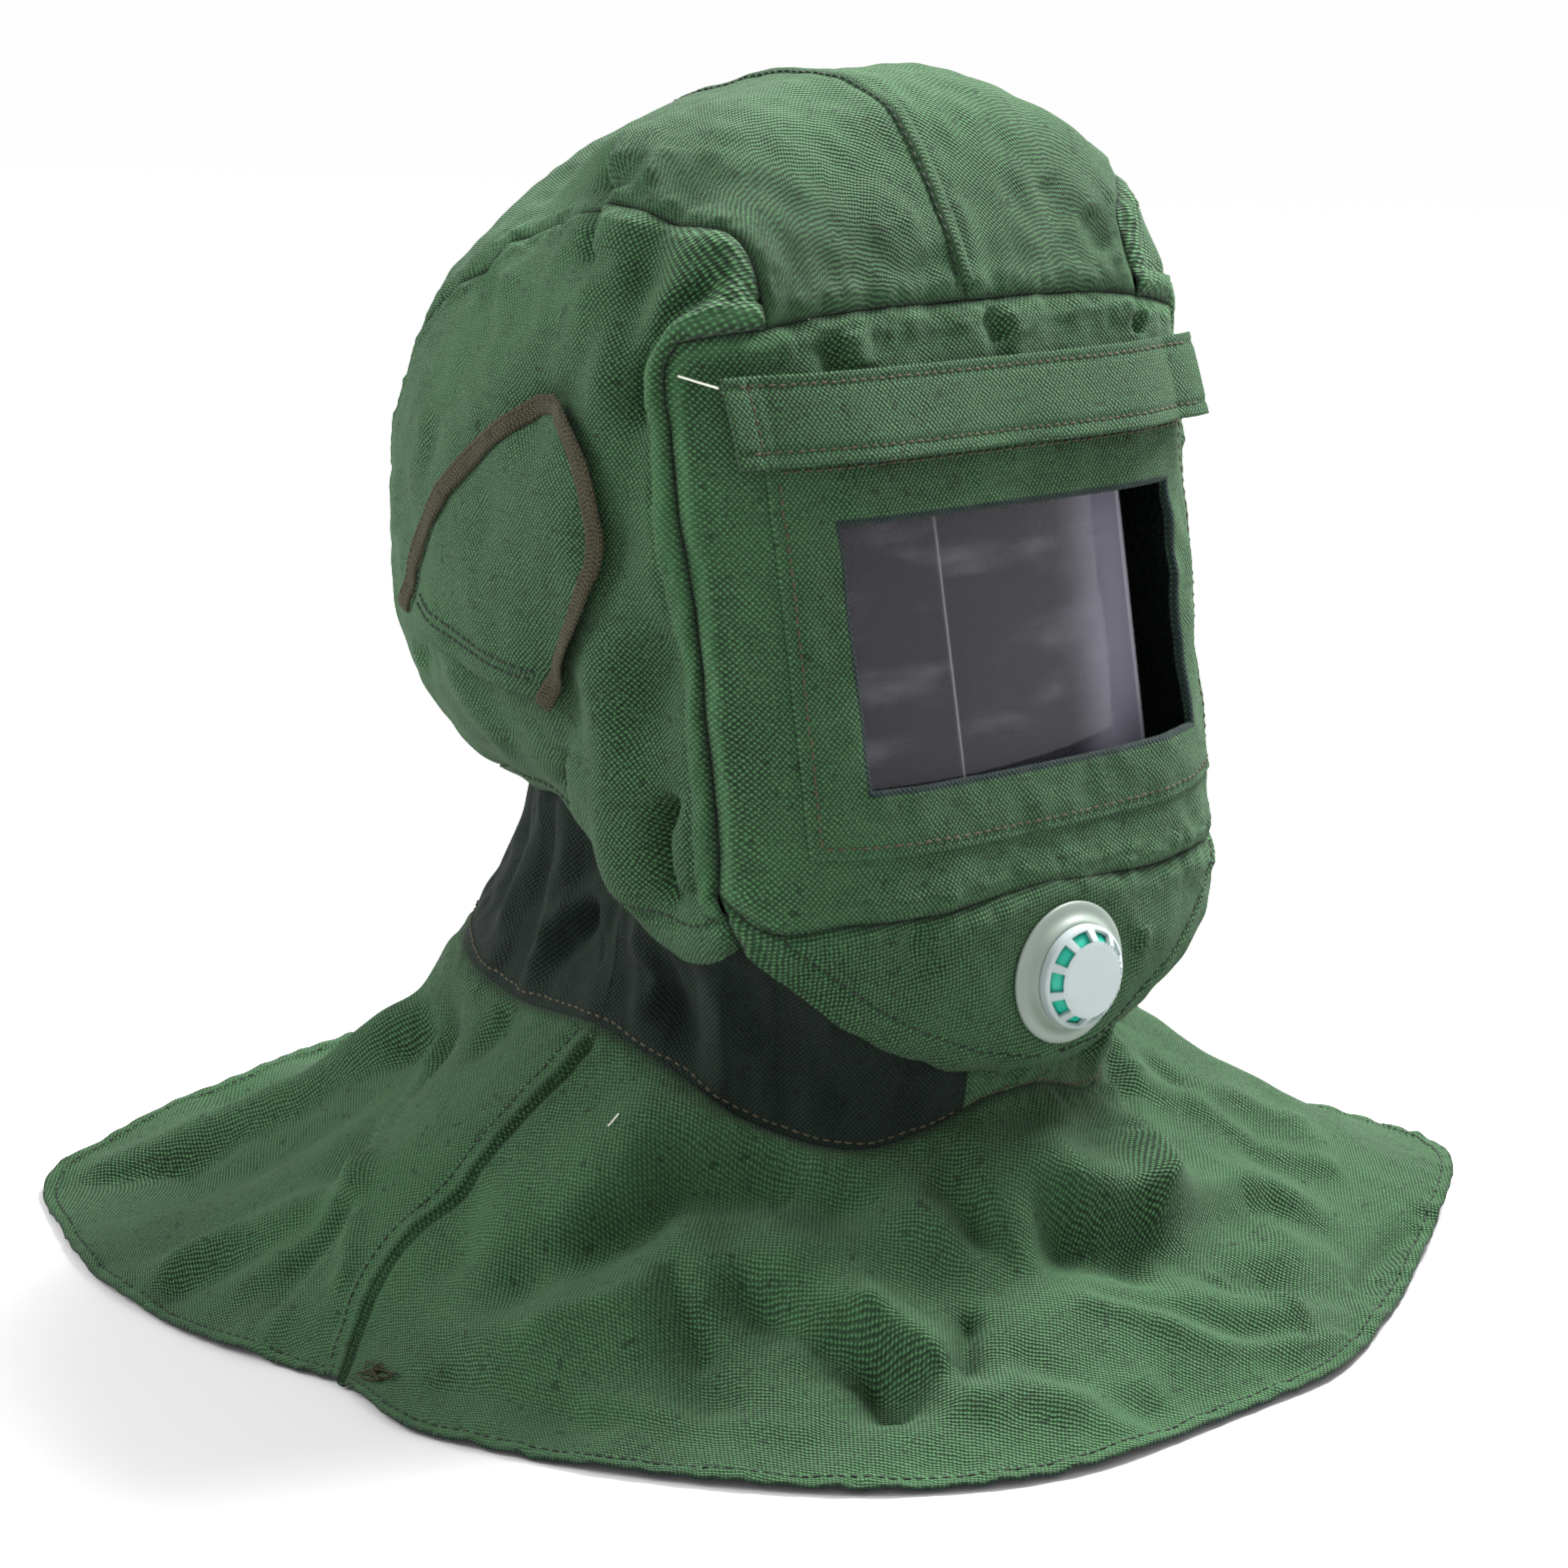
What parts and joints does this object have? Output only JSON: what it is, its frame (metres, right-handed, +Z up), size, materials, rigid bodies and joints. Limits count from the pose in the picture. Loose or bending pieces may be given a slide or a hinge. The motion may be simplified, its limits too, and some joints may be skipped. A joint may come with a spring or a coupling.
{
  "type": "sandblasting hood",
  "caption": "Green canvas sandblasting hood with a framed clear window, folded brow flap, chin valve, bound ear covers, gathered collar and shoulder cape.",
  "frame": {"origin": "the inside of the crown straight above the middle of the head space, where a head or a stand carries the hood", "axes": "+Z up, -Y out of the window to the front, +X towards the wearer's left; the lowest hem of the cape lies 408 mm below the origin"},
  "size_m": [0.478, 0.4519, 0.4152],
  "materials": {
    "canvas": "matte",
    "collar_cloth": "matte",
    "binding": "matte",
    "lens": "clear",
    "valve_plastic": "satin",
    "valve_rubber": "satin"
  },
  "bodies": {
    "root": {"crown_right": "canvas", "crown_left": "canvas", "crown_ridge": "canvas", "side_right": "canvas", "side_left": "canvas", "face_panel": "canvas", "window_frame": "canvas", "brow_flap": "canvas", "chin_panel": "canvas", "ear_cover_right": "canvas", "ear_cover_left": "canvas", "ear_binding_right": "binding", "ear_binding_left": "binding", "neck_collar": "collar_cloth", "front_gusset": "canvas", "cape_front": "canvas", "cape_back": "canvas", "visor_lens": "lens", "valve_flange": "valve_plastic", "valve_cap": "valve_plastic", "valve_diaphragm": "valve_rubber"}
  },
  "joints": []
}
